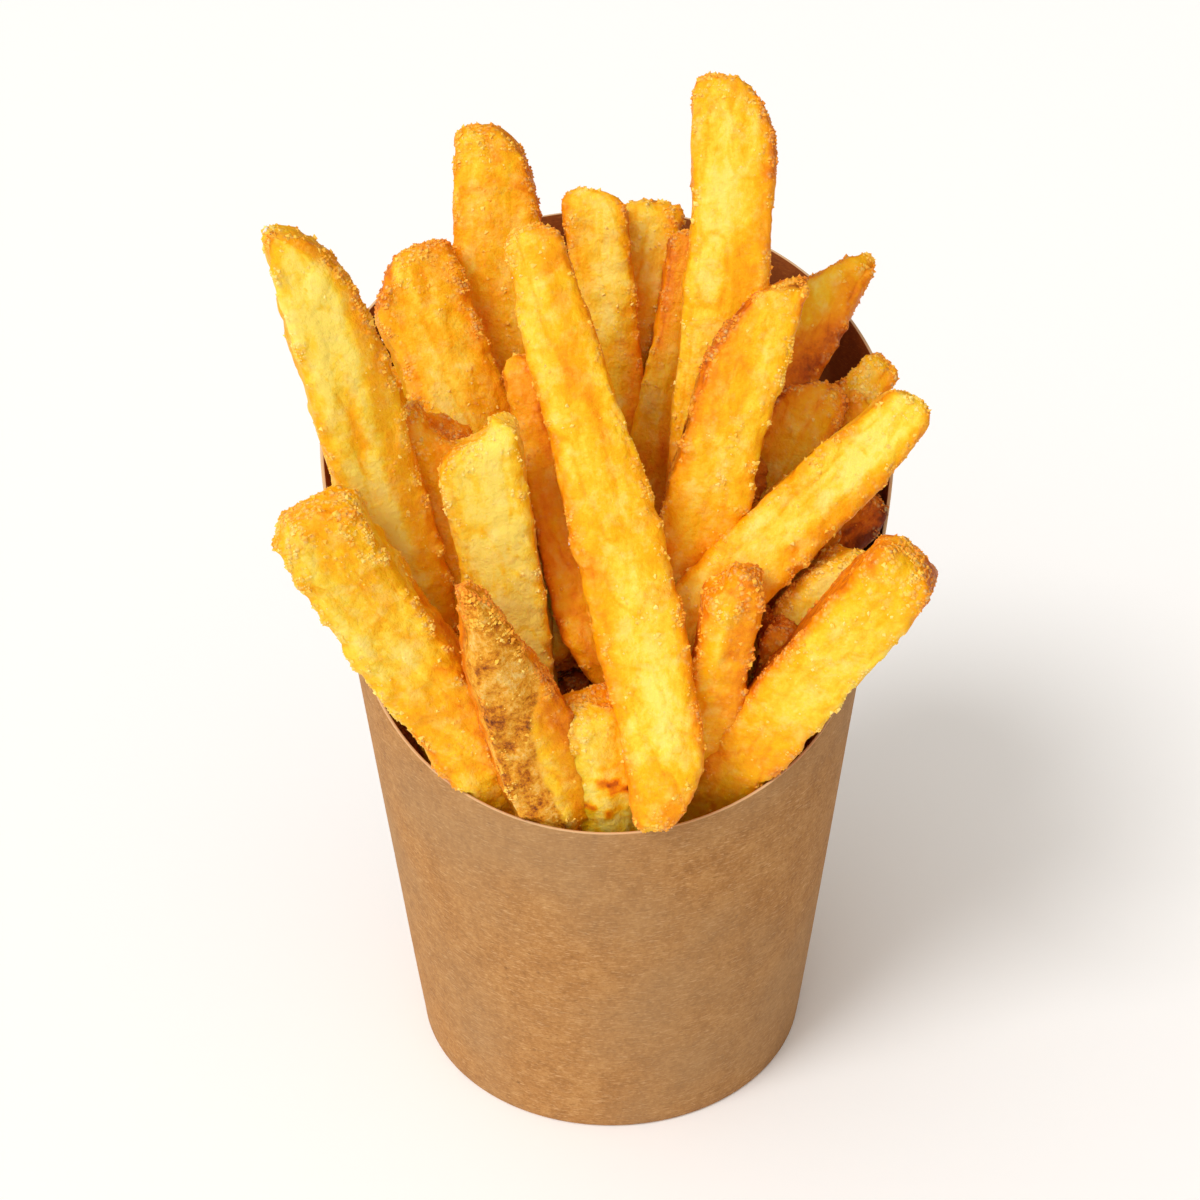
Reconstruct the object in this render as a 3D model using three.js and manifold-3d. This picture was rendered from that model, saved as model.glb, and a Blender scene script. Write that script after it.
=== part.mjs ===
// French fries in a kraft paper scoop cup.
// Millimetres, +Z up. The cup's axis is Z, its low front rim faces -Y and its foot stands on Z = 0.

import * as THREE from 'three';
import { mergeVertices } from 'three/addons/utils/BufferGeometryUtils.js';
import Module from 'manifold-3d';

const wasm = await Module();
wasm.setup();

// ---- driving dimensions -------------------------------------------------------------------

const BOARD = 0.5; // kraft board thickness
const GAP = 0.3; // running gap between pieces that touch

const FOOT_RADIUS = 32; // cup, outside, on the table
const MOUTH_RADIUS = 43; // cup, outside, at the height of the back rim
const FRONT_RIM = 63.5; // height of the low lip
const BACK_RIM = 123.5; // height of the tall back
const SCOOP_SHARE = 0.6; // part of the rise that is an even cosine sweep; the rest is the shoulder
const SHOULDER_AT = 77; // degrees from the front, middle of the steep shoulder
const SHOULDER_WIDTH = 6.5; // degrees, how quickly the shoulder climbs
const RIM_STEP = 5; // degrees between the wall's facets

const SEAM_AT = 180; // degrees from the front, middle of the glued overlap
const SEAM_HALF = 6; // degrees, half the overlap
const SEAM_EDGE = 0.3; // degrees over which the overlapping board steps up

const FOLD_HEIGHT = 7; // wall's lower margin, folded in and up round the floor's flange
const CORE_FRONT = 52; // height of the packed heap at the front wall
const CORE_BACK = 86; // and at the back wall

const FRY_CORNER = 0.28; // chamfer of a fry's long edges, as a share of its half width
const CAP = 1.4; // length over which a fry's ends round off
const BEVEL_STEPS = 4; // rings in a fry's curved end

const CARD = { color: 0xb08a60, roughness: 0.85, metalness: 0 };
const CARD_INSIDE = { color: 0xa87c50, roughness: 0.85, metalness: 0 };
const POTATO = { color: 0xf0b435, roughness: 0.55, metalness: 0 };

// ---- the fries ----------------------------------------------------------------------------
// Each line is one fry: the middle of its foot and of its tip, its width and depth, how far its
// broad face is rolled round its length (degrees), its sideways bow, and its cut end: the length
// over which one edge curves in to the tip (positive: the right edge, seen from the front) and
// the share of the width that is left there. heel and heelBlunt do the same at the foot.

const FRIES = [
  // front row, leaning out over the low lip
  { foot: [9.2, -37.8, 65], tip: [-10, -2, 136.5], wide: 11.2, deep: 9.6, roll: 0, bow: 1, cut: 3, blunt: 0.6,
    heel: 12, heelBlunt: 0.3 },
  { foot: [-8.5, -26, 52], tip: [-38, -31, 111], wide: 11.5, deep: 8, roll: -8, bow: 0, cut: 4, blunt: 0.7 },
  { foot: [-17, -13, 44], tip: [-35.5, -22, 144.5], wide: 11.5, deep: 8, roll: 12, bow: 0, cut: 24, blunt: 0.05 },
  { foot: [2, -24, 17], tip: [-15.5, -36, 102.5], wide: 11, deep: 8, roll: 12, bow: 0, cut: 20, blunt: 0.15 },
  { foot: [5, -27, 27], tip: [-3, -30.5, 81], wide: 10, deep: 8, roll: 0, bow: 0, cut: 3, blunt: 0.7 },
  { foot: [0, -19, 60], tip: [-7, -12, 79], wide: 8, deep: 8, roll: 0, bow: 0, cut: 3, blunt: 0.7 },
  { foot: [9, -24, 33], tip: [17, -26, 97], wide: 8, deep: 8, roll: 0, bow: 0, cut: 4, blunt: 0.6 },
  { foot: [20, -19, 60], tip: [24, -20, 89], wide: 6, deep: 7, roll: 0, bow: 0, cut: 3, blunt: 0.6 },
  { foot: [-3, -22, 34], tip: [39.3, -30, 102.5], wide: 11.2, deep: 9, roll: 0, bow: 0, cut: 4, blunt: 0.6 },
  { foot: [13, -16, 52], tip: [34.3, -17, 95.5], wide: 11.5, deep: 9, roll: 0, bow: 0, cut: -14, blunt: 0.4 },
  // middle rows
  { foot: [-11.5, -20, 58], tip: [-17, -18, 115], wide: 11, deep: 8, roll: 0, bow: 0, cut: -4, blunt: 0.7 },
  { foot: [-17.5, -11, 58], tip: [-24, -9, 113.5], wide: 8.5, deep: 8, roll: 0, bow: 0, cut: 4, blunt: 0.7 },
  { foot: [-1.5, -20, 72], tip: [-10, 0, 118], wide: 9, deep: 8, roll: 0, bow: -1, cut: 3, blunt: 0.6,
    heel: -12, heelBlunt: 0.15 },
  { foot: [5.5, -20, 71], tip: [21.8, -3, 130.5], wide: 11.3, deep: 8, roll: 0, bow: 0, cut: -18, blunt: 0.12 },
  { foot: [5.5, -23, 81], tip: [42.5, -6, 113], wide: 8.5, deep: 8, roll: 0, bow: 0, cut: 3, blunt: 0.6 },
  { foot: [12, -12, 70], tip: [38, -3, 97.5], wide: 9, deep: 8, roll: 0, bow: 0, cut: 3, blunt: 0.6 },
  { foot: [8, -9, 69], tip: [31.5, 6, 110.5], wide: 11, deep: 8, roll: 0, bow: 0, cut: -9, blunt: 0.45 },
  { foot: [20, -2, 82], tip: [40.2, 8.5, 111], wide: 7.5, deep: 7, roll: 0, bow: 0, cut: 3, blunt: 0.6 },
  { foot: [6, -12, 75], tip: [35.5, 18, 124.5], wide: 9.5, deep: 8, roll: 0, bow: 0, cut: -3, blunt: 0.6 },
  { foot: [8, -15, 55], tip: [17.5, 6, 154], wide: 11.5, deep: 9, roll: 0, bow: 2, cut: 14, blunt: 0.45 },
  // back row, standing against the tall back
  { foot: [-7, -14, 76], tip: [-27.5, 14, 127], wide: 12, deep: 9, roll: 10, bow: 0, cut: -9, blunt: 0.45 },
  { foot: [-17, -1, 60], tip: [-15.5, 26, 142], wide: 12, deep: 9, roll: 0, bow: 0, cut: 14, blunt: 0.4 },
  { foot: [5, -4, 56], tip: [-1.5, 24, 133], wide: 9.3, deep: 8, roll: 0, bow: 0, cut: 5, blunt: 0.5 },
  { foot: [-4, 8, 84], tip: [7.7, 30, 129], wide: 9, deep: 8, roll: 0, bow: 0, cut: -3, blunt: 0.6 },
  { foot: [0, -8, 66], tip: [14, 22, 127], wide: 8, deep: 8, roll: 0, bow: 0, cut: 3, blunt: 0.6 },
  // packed between and behind the others
  { foot: [-8, 6, 62], tip: [-7.5, 19, 115], wide: 7, deep: 8, roll: 0, bow: 0, cut: 3, blunt: 0.6 },
  { foot: [-18, 6, 60], tip: [-31, 18, 108], wide: 9, deep: 8, roll: 30, bow: 0, cut: 3, blunt: 0.6 },
  { foot: [-12, 14, 60], tip: [-22, 31, 112], wide: 9, deep: 8, roll: 0, bow: 0, cut: -4, blunt: 0.6 },
  { foot: [-6, 18, 60], tip: [-6, 35, 116], wide: 10, deep: 8, roll: 0, bow: 0, cut: 4, blunt: 0.6 },
  { foot: [8, 16, 60], tip: [20, 30, 114], wide: 9, deep: 8, roll: -20, bow: 0, cut: 4, blunt: 0.6 },
  { foot: [16, 8, 60], tip: [30, 17, 106], wide: 9, deep: 8, roll: -40, bow: 0, cut: -4, blunt: 0.6 },
  { foot: [20, -6, 50], tip: [31, -4, 96], wide: 9, deep: 8, roll: -20, bow: 0, cut: 3, blunt: 0.6 },
  { foot: [2, 24, 60], tip: [3, 36, 119], wide: 9, deep: 8, roll: 0, bow: 0, cut: 4, blunt: 0.6 },
  { foot: [-14, 20, 60], tip: [-15, 34, 117], wide: 9, deep: 8, roll: 15, bow: 0, cut: -4, blunt: 0.6 },
  { foot: [13, 20, 60], tip: [14, 34, 116], wide: 8, deep: 8, roll: -15, bow: 0, cut: 4, blunt: 0.6 },
  { foot: [22, 10, 60], tip: [32, 16, 104], wide: 9, deep: 8, roll: -50, bow: 0, cut: 4, blunt: 0.6 },
  { foot: [-24, 4, 56], tip: [-34, 10, 103], wide: 9, deep: 8, roll: 50, bow: 0, cut: -4, blunt: 0.6 },
  { foot: [-22, -8, 50], tip: [-34, -4, 98], wide: 9, deep: 8, roll: 20, bow: 0, cut: 3, blunt: 0.6 },
];

// ---- shared helpers -----------------------------------------------------------------------

const degrees = (angle) => THREE.MathUtils.degToRad(angle);

/** Height of the scooped rim at an angle in degrees from the front. */
function rimHeight(angle) {
  const fromFront = Math.min(angle, 360 - angle);
  const sweep = (1 - Math.cos(degrees(fromFront))) / 2;
  const shoulder = 1 / (1 + Math.exp(-(fromFront - SHOULDER_AT) / SHOULDER_WIDTH));
  return FRONT_RIM + (BACK_RIM - FRONT_RIM) * (SCOOP_SHARE * sweep + (1 - SCOOP_SHARE) * shoulder);
}

/** Radius of the cup's outer face at a height. */
function outerRadius(height) {
  return FOOT_RADIUS + ((MOUTH_RADIUS - FOOT_RADIUS) * height) / BACK_RIM;
}

/** A closed ring: at each angle, profile(angle) gives the same number of [radius, height] points,
 *  outer face first, going up. */
function ringGeometry(angles, profile) {
  const points = [];
  for (const angle of angles) {
    const turn = degrees(angle);
    for (const [radius, height] of profile(angle)) {
      points.push(radius * Math.sin(turn), -radius * Math.cos(turn), height);
    }
  }
  const sides = profile(angles[0]).length;
  const faces = [];
  for (let i = 0; i < angles.length; i += 1) {
    const here = i * sides;
    const next = ((i + 1) % angles.length) * sides;
    for (let j = 0; j < sides; j += 1) {
      const k = (j + 1) % sides;
      faces.push(here + j, next + j, next + k, here + j, next + k, here + k);
    }
  }
  return indexed(points, faces);
}

/** An indexed geometry from flat lists of coordinates and vertex numbers. */
function indexed(points, faces) {
  const geometry = new THREE.BufferGeometry();
  geometry.setAttribute('position', new THREE.Float32BufferAttribute(points, 3));
  geometry.setIndex(faces);
  return geometry;
}

/** The geometry as a solid that can be joined and cut. */
function solid(geometry) {
  const bare = geometry.clone();
  bare.deleteAttribute('normal');
  bare.deleteAttribute('uv');
  const merged = mergeVertices(bare, 1e-4);
  const mesh = new wasm.Mesh({
    numProp: 3,
    vertProperties: new Float32Array(merged.attributes.position.array),
    triVerts: new Uint32Array(merged.index.array),
  });
  return new wasm.Manifold(mesh);
}

/** The solid's surface as a geometry. */
function surface(body) {
  const mesh = body.getMesh();
  return indexed(Array.from(mesh.vertProperties), Array.from(mesh.triVerts));
}

/** A named piece with its finish. */
function piece(name, geometry, finish) {
  geometry.computeVertexNormals();
  const mesh = new THREE.Mesh(geometry, new THREE.MeshStandardMaterial(finish));
  mesh.name = name;
  return mesh;
}

// ---- cup wall: one blank of kraft board, rolled, lapped and folded in at the foot -----------

function wallAngles() {
  const angles = [];
  for (let angle = 0; angle < 360; angle += RIM_STEP) {
    if (Math.abs(angle - SEAM_AT) !== SEAM_HALF) {
      angles.push(angle);
    }
  }
  for (const side of [-1, 1]) {
    angles.push(SEAM_AT + side * SEAM_HALF, SEAM_AT + side * (SEAM_HALF + SEAM_EDGE));
  }
  return angles.sort((a, b) => a - b);
}

function wallGeometry() {
  const flapOuter = FOOT_RADIUS - 2 * BOARD - 2 * GAP;
  return ringGeometry(wallAngles(), (angle) => {
    const top = rimHeight(angle);
    const lap = Math.abs(angle - SEAM_AT) <= SEAM_HALF ? BOARD : 0;
    return [
      [outerRadius(0) + lap, 0],
      [outerRadius(top) + lap, top],
      [outerRadius(top) - BOARD, top],
      [outerRadius(BOARD) - BOARD, BOARD],
      [flapOuter, BOARD],
      [flapOuter, FOLD_HEIGHT],
      [flapOuter - BOARD, FOLD_HEIGHT],
      [flapOuter - BOARD, 0],
    ];
  });
}

// ---- cup floor: a disc whose edge is turned down into the fold -------------------------------

const FLOOR_TOP = FOLD_HEIGHT + GAP + BOARD;

function floorGeometry() {
  const edge = (height) => outerRadius(height) - BOARD - GAP;
  const flangeFoot = BOARD + GAP;
  const profile = [
    new THREE.Vector2(0, FLOOR_TOP - BOARD),
    new THREE.Vector2(edge(flangeFoot) - BOARD, FLOOR_TOP - BOARD),
    new THREE.Vector2(edge(flangeFoot) - BOARD, flangeFoot),
    new THREE.Vector2(edge(flangeFoot), flangeFoot),
    new THREE.Vector2(edge(flangeFoot), FLOOR_TOP),
    new THREE.Vector2(0, FLOOR_TOP),
  ];
  const geometry = new THREE.LatheGeometry(profile, 360 / RIM_STEP);
  geometry.rotateX(Math.PI / 2);
  return geometry;
}

// ---- fries: the packed heap inside the cup and every fry that stands out of it ---------------

/** How far an edge has curved in, 0 to 1, at a share of the way along a quarter ellipse. */
function curvedIn(share) {
  const reached = Math.min(1, Math.max(0, share));
  return 1 - Math.sqrt(1 - reached * reached);
}

/** One fry as a closed prism of eight-sided rings. */
function fryGeometry({ foot, tip, wide, deep, roll, bow, cut, blunt, heel = 0, heelBlunt = 1 }) {
  const start = new THREE.Vector3(...foot);
  const along = new THREE.Vector3(...tip).sub(start);
  const length = along.length();
  along.normalize();
  const faceOut = new THREE.Vector3(0, -1, 0.6);
  faceOut.addScaledVector(along, -faceOut.dot(along)).normalize();
  faceOut.applyAxisAngle(along, degrees(roll));
  const right = new THREE.Vector3().crossVectors(along, faceOut);

  const cutLength = Math.abs(cut);
  const heelLength = Math.abs(heel);
  const stations = [0, CAP, length / 2, length];
  for (let step = 0; step <= BEVEL_STEPS; step += 1) {
    const quarter = Math.sin((Math.PI / 2) * (step / BEVEL_STEPS));
    stations.push(length - cutLength + (cutLength - CAP / 2) * quarter);
    if (heelLength > 0 && step < BEVEL_STEPS) {
      stations.push(heelLength - (heelLength - CAP / 2) * quarter);
    }
  }
  stations.sort((a, b) => a - b);

  const points = [];
  for (const station of stations) {
    const lost = (1 - blunt) * wide * curvedIn((station - (length - cutLength)) / cutLength);
    const heelLost = (1 - heelBlunt) * wide * (heelLength > 0 ? curvedIn(1 - station / heelLength) : 0);
    const atEnd = station === 0 || station === length;
    const halfWide = ((wide - lost - heelLost) / 2) * (atEnd ? 0.7 : 1);
    const halfDeep = (deep / 2) * (atEnd ? 0.7 : 1);
    const share = station / length;
    const middle = start.clone().addScaledVector(along, station);
    const aside = Math.sign(cut) * lost + Math.sign(heel) * heelLost;
    middle.addScaledVector(right, 4 * bow * share * (1 - share) - aside / 2);
    const corner = FRY_CORNER * Math.min(halfWide, halfDeep);
    for (const [u, v, du, dv] of [
      [1, -1, 0, 1], [1, 1, 0, -1], [1, 1, -1, 0], [-1, 1, 1, 0],
      [-1, 1, 0, -1], [-1, -1, 0, 1], [-1, -1, 1, 0], [1, -1, -1, 0],
    ]) {
      const point = middle.clone();
      point.addScaledVector(right, u * halfWide + du * corner);
      point.addScaledVector(faceOut, v * halfDeep + dv * corner);
      points.push(point.x, point.y, point.z);
    }
  }

  const sides = 8;
  const faces = [];
  for (let ring = 0; ring < stations.length - 1; ring += 1) {
    for (let side = 0; side < sides; side += 1) {
      const a = ring * sides + side;
      const b = ring * sides + ((side + 1) % sides);
      faces.push(a, b + sides, b, a, a + sides, b + sides);
    }
  }
  const last = (stations.length - 1) * sides;
  for (let side = 1; side < sides - 1; side += 1) {
    faces.push(0, side, side + 1, last, last + side + 1, last + side);
  }
  return indexed(points, faces);
}

/** The packed heap: fills the cup from its floor to a top that slopes up to the back. */
function coreGeometry() {
  const innerRadius = (height) => outerRadius(height) - BOARD - GAP;
  const bottom = FLOOR_TOP + GAP;
  const angles = [];
  for (let angle = 0; angle < 360; angle += 3 * RIM_STEP) {
    angles.push(angle);
  }
  const points = [];
  for (const angle of angles) {
    const turn = degrees(angle);
    const top = CORE_FRONT + ((CORE_BACK - CORE_FRONT) * (1 - Math.cos(turn))) / 2;
    for (const height of [bottom, top]) {
      const radius = innerRadius(height);
      points.push(radius * Math.sin(turn), -radius * Math.cos(turn), height);
    }
  }
  points.push(0, 0, bottom, 0, 0, (CORE_FRONT + CORE_BACK) / 2);
  const floorMiddle = 2 * angles.length;
  const faces = [];
  for (let i = 0; i < angles.length; i += 1) {
    const here = 2 * i;
    const next = 2 * ((i + 1) % angles.length);
    faces.push(here, next, next + 1, here, next + 1, here + 1);
    faces.push(floorMiddle, next, here, floorMiddle + 1, here + 1, next + 1);
  }
  return indexed(points, faces);
}

/** Everything that the fries keep clear of: the wall's board with its gap, and the room outside. */
function wallClearance() {
  const OUTSIDE = 8;
  return solid(
    ringGeometry(wallAngles(), (angle) => {
      const top = rimHeight(angle) + GAP;
      return [
        [outerRadius(-GAP) + OUTSIDE, -GAP],
        [outerRadius(top) + OUTSIDE, top],
        [outerRadius(top) - BOARD - GAP, top],
        [outerRadius(-GAP) - BOARD - GAP, -GAP],
      ];
    }),
  );
}

/** The geometry's largest shell alone: small sealed pockets and loose slivers are dropped. */
function largestShell(geometry) {
  const faces = Array.from(geometry.index.array);
  const owner = Array.from({ length: geometry.attributes.position.count }, (_, i) => i);
  const find = (vertex) => {
    let root = vertex;
    while (owner[root] !== root) {
      owner[root] = owner[owner[root]];
      root = owner[root];
    }
    return root;
  };
  for (let i = 0; i < faces.length; i += 3) {
    owner[find(faces[i + 1])] = find(faces[i]);
    owner[find(faces[i + 2])] = find(faces[i]);
  }
  const sizes = new Map();
  for (let i = 0; i < faces.length; i += 3) {
    const root = find(faces[i]);
    sizes.set(root, (sizes.get(root) ?? 0) + 1);
  }
  const [largest] = [...sizes].sort((a, b) => b[1] - a[1])[0];
  geometry.setIndex(faces.filter((_, i) => find(faces[i - (i % 3)]) === largest));
  return geometry;
}

/** Core and fries joined, trimmed clear of the wall. */
function friesGeometry() {
  let heap = solid(coreGeometry());
  for (const fry of FRIES) {
    heap = heap.add(solid(fryGeometry(fry)));
  }
  return largestShell(surface(heap.subtract(wallClearance())));
}

// ---- the object ---------------------------------------------------------------------------

const friesInCup = new THREE.Group();
friesInCup.add(
  piece('cup_wall', wallGeometry(), CARD),
  piece('cup_floor', floorGeometry(), CARD_INSIDE),
  piece('fries', friesGeometry(), POTATO),
);

export default friesInCup;
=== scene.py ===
"""French fries in a kraft paper scoop cup: the finish of every surface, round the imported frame."""

import bpy
import numpy as np
from mathutils import Matrix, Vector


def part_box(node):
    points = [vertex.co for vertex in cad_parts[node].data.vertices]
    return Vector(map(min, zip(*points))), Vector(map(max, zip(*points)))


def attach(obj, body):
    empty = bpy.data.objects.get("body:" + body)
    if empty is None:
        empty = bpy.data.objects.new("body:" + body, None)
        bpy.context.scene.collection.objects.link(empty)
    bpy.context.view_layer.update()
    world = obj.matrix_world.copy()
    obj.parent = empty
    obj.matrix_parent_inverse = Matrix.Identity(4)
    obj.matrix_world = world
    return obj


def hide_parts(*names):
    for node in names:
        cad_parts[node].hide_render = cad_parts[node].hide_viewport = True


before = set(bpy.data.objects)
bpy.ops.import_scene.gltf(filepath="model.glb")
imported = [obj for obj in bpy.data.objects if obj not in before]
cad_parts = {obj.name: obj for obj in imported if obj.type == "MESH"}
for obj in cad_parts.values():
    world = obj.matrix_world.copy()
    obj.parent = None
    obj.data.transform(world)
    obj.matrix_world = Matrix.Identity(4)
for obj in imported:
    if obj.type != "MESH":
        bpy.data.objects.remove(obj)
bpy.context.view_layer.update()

# ---------------------------------------------------------------------------------------------
# Cup wall. One blank of kraft board, rolled into a cone and lapped at the back with glue. Its
# top is die-cut to a low front lip and a tall back, and its lower margin is folded in and up
# round the floor's flange, which leaves a plain round foot.

MM = 0.001  # everything below is worked out in millimetres and scaled once, in lay_mesh
wall_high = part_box("cup_wall")[1]
BOARD = 0.5  # thickness of the board
GAP = 0.3  # play between the floor and what touches it
BACK_RIM = wall_high.z / MM
FRONT_RIM = 63.5
FOOT_RADIUS = 32.0
MOUTH_RADIUS = wall_high.y / MM - BOARD
SEAM_HALF = 6.0  # degrees, half of the lap
FOLD_HEIGHT = 7.0
FOOT_ROUND = 0.35  # the folded foot's outer corner
CUT_ROUND = 0.12  # how far below the cut the rim's corners begin


def linear(hex_colour):
    """sRGB hex to linear RGBA: below 0.04045 divided by 12.92, above ((c + 0.055) / 1.055)^2.4."""
    channels = np.array([int(hex_colour[i : i + 2], 16) for i in (1, 3, 5)]) / 255
    low = channels / 12.92
    high = ((channels + 0.055) / 1.055) ** 2.4
    return (*np.where(channels <= 0.04045, low, high).tolist(), 1.0)


def add_node(tree, kind, links=None, stops=None, **settings):
    """Adds one shader node. settings are its properties, links gives an input a value or another
    node's output, and stops are a colour ramp's (place, colour) pairs."""
    made = tree.nodes.new("ShaderNode" + kind)
    for name, value in settings.items():
        setattr(made, name, value)
    for name, value in (links or {}).items():
        if isinstance(value, bpy.types.NodeSocket):
            tree.links.new(value, made.inputs[name])
        else:
            made.inputs[name].default_value = value
    for place, colour in stops or []:
        ends = {0.0: 0, 1.0: len(made.color_ramp.elements) - 1}
        elements = made.color_ramp.elements
        stop = elements[ends[place]] if place in ends else elements.new(place)
        stop.color = colour
    return made


def lay_mesh(name, points, faces, material, values=None, smooth=True):
    """A mesh object at the origin from points in millimetres and faces. values are per-point
    attributes. It rides on the part's one body."""
    mesh = bpy.data.meshes.new(name)
    mesh.from_pydata(np.asarray(points) * MM, [], faces if isinstance(faces, list) else faces.tolist())
    for key, value in (values or {}).items():
        value = np.asarray(value, np.float32)
        kind, field = ("FLOAT", "value") if value.ndim == 1 else ("FLOAT_VECTOR", "vector")
        mesh.attributes.new(key, kind, "POINT").data.foreach_set(field, value.ravel())
    mesh.polygons.foreach_set("use_smooth", [smooth] * len(mesh.polygons))
    mesh.materials.append(material)
    made = bpy.data.objects.new(name, mesh)
    bpy.context.scene.collection.objects.link(made)
    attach(made, "root")
    return made


def grid_faces(rows, columns, first=0, closed_rows=False):
    """Quads of a rows by columns grid of points. Columns always close on themselves, rows do when
    closed_rows is set. Faces turn so that columns run anticlockwise seen along the rows."""
    last = rows if closed_rows else rows - 1
    i, j = np.meshgrid(np.arange(last), np.arange(columns), indexing="ij")
    here = i * columns + j
    side = i * columns + (j + 1) % columns
    up = ((i + 1) % rows) * columns
    quads = np.stack([here, side, up + (j + 1) % columns, up + j], -1).reshape(-1, 4)
    return quads + first


def grain(points, size, seed):
    """Value noise from -1 to 1: random values on a lattice of cell size, blended between its
    eight corners by the smooth step 3t^2 - 2t^3 in each direction."""
    table = np.random.default_rng(seed).uniform(-1, 1, (32, 32, 32))
    scaled = np.asarray(points) / size
    cell = np.floor(scaled).astype(int)
    part = scaled - cell
    part = part * part * (3 - 2 * part)
    total = 0
    for dx in (0, 1):
        for dy in (0, 1):
            for dz in (0, 1):
                corner = (cell + (dx, dy, dz)) % 32
                weight = np.prod(np.where((dx, dy, dz), part, 1 - part), axis=-1)
                total = total + weight * table[corner[..., 0], corner[..., 1], corner[..., 2]]
    return total


def rise(x, low, high):
    """Smooth step from 0 at low to 1 at high."""
    t = np.clip((x - low) / (high - low), 0, 1)
    return t * t * (3 - 2 * t)


def rim_height(turn):
    """Height of the die-cut rim at an angle in degrees from the front: a cosine sweep for 60% of
    the rise and, for the rest, a shoulder that climbs round 77 degrees."""
    sweep = (1 - np.cos(np.radians(turn))) / 2
    shoulder = 1 / (1 + np.exp(-(np.abs(turn) - 77) / 6.5))
    return FRONT_RIM + (BACK_RIM - FRONT_RIM) * (0.6 * sweep + 0.4 * shoulder)


def cone_radius(height):
    """Outer radius of the wall at a height: a straight taper from foot to mouth."""
    return FOOT_RADIUS + (MOUTH_RADIUS - FOOT_RADIUS) * height / BACK_RIM


def wall_points():
    """The wall as a closed ring of sections. Each goes up the outer face, over the cut rim, down
    the inner face, across the fold and up and down the folded margin. The lap adds one board
    thickness at the back, stepping up over a quarter of a degree."""
    turns = np.arange(-180, 180, 1.0)
    lap_from = 180 - SEAM_HALF
    edges = np.array([-1, 1])[:, None] * (lap_from - np.array([0.3, 0.15, -0.05]))
    turns = np.unique(np.concatenate([turns, edges.ravel()]))
    turn = turns[:, None]
    top = rim_height(turn) + 0.18 * np.sin(np.radians(3 * turn + 40)) * rise(abs(turn), 10, 60)
    top = top - 0.1
    share = np.linspace(0, 1, 48)[None, :]
    lap = BOARD * rise(abs(turn), lap_from - 0.3, lap_from - 0.05)
    outer_z = FOOT_ROUND + (top - CUT_ROUND - FOOT_ROUND) * share
    outer_r = cone_radius(outer_z) + lap
    rim_z = np.concatenate([top - 0.03, top, top - 0.03], 1)
    rim_r = cone_radius(top) + np.array([[-0.05, -BOARD / 2, 0.05 - BOARD]])
    rim_r = rim_r + lap * np.array([[1, 0.6, 0]])
    inner_z = (top - CUT_ROUND) + (BOARD - (top - CUT_ROUND)) * share
    inner_r = cone_radius(inner_z) - BOARD
    # the fold: up its outer side, over its edge, down its inner side and out under the foot
    outer = FOOT_RADIUS - 2 * BOARD - 2 * GAP
    inner = outer - BOARD
    half = FOLD_HEIGHT / 2
    fold_z = np.array([[BOARD, half, FOLD_HEIGHT, FOLD_HEIGHT, half, FOOT_ROUND, 0, 0]])
    fold_r = np.array([[outer, outer, outer, inner, inner, inner, outer - 0.2, FOOT_RADIUS - 0.3]])
    fold_z = fold_z + 0 * turn
    fold_r = fold_r + lap * (np.arange(fold_r.size) == fold_r.size - 1)
    z = np.concatenate([outer_z, rim_z, inner_z, fold_z], 1)
    r = np.concatenate([outer_r, rim_r, inner_r, fold_r], 1)
    cut, lining = np.zeros_like(z), np.zeros_like(z)
    rim_end = share.size + rim_z.shape[1]
    cut[:, share.size : rim_end] = 1
    lining[:, rim_end : rim_end + share.size] = 1
    # handling leaves the round a little oval and waved, by 0.3 mm, above the stiff foot
    angle = np.radians(turn)
    soft = 0.22 * rise(z, 8, 40) * np.sin(2 * angle + 0.6) + 0.1 * np.sin(5 * angle + z / 17)
    r = r + np.where(z > 1, soft, 0)
    values = {"cut": cut.ravel(), "lining": lining.ravel()}
    return np.stack([r * np.sin(angle), -r * np.cos(angle), z], -1), values


def per_metre(size):
    """Scale of a pattern on Object coordinates whose features are size millimetres across."""
    return 1 / (size * MM)


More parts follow.
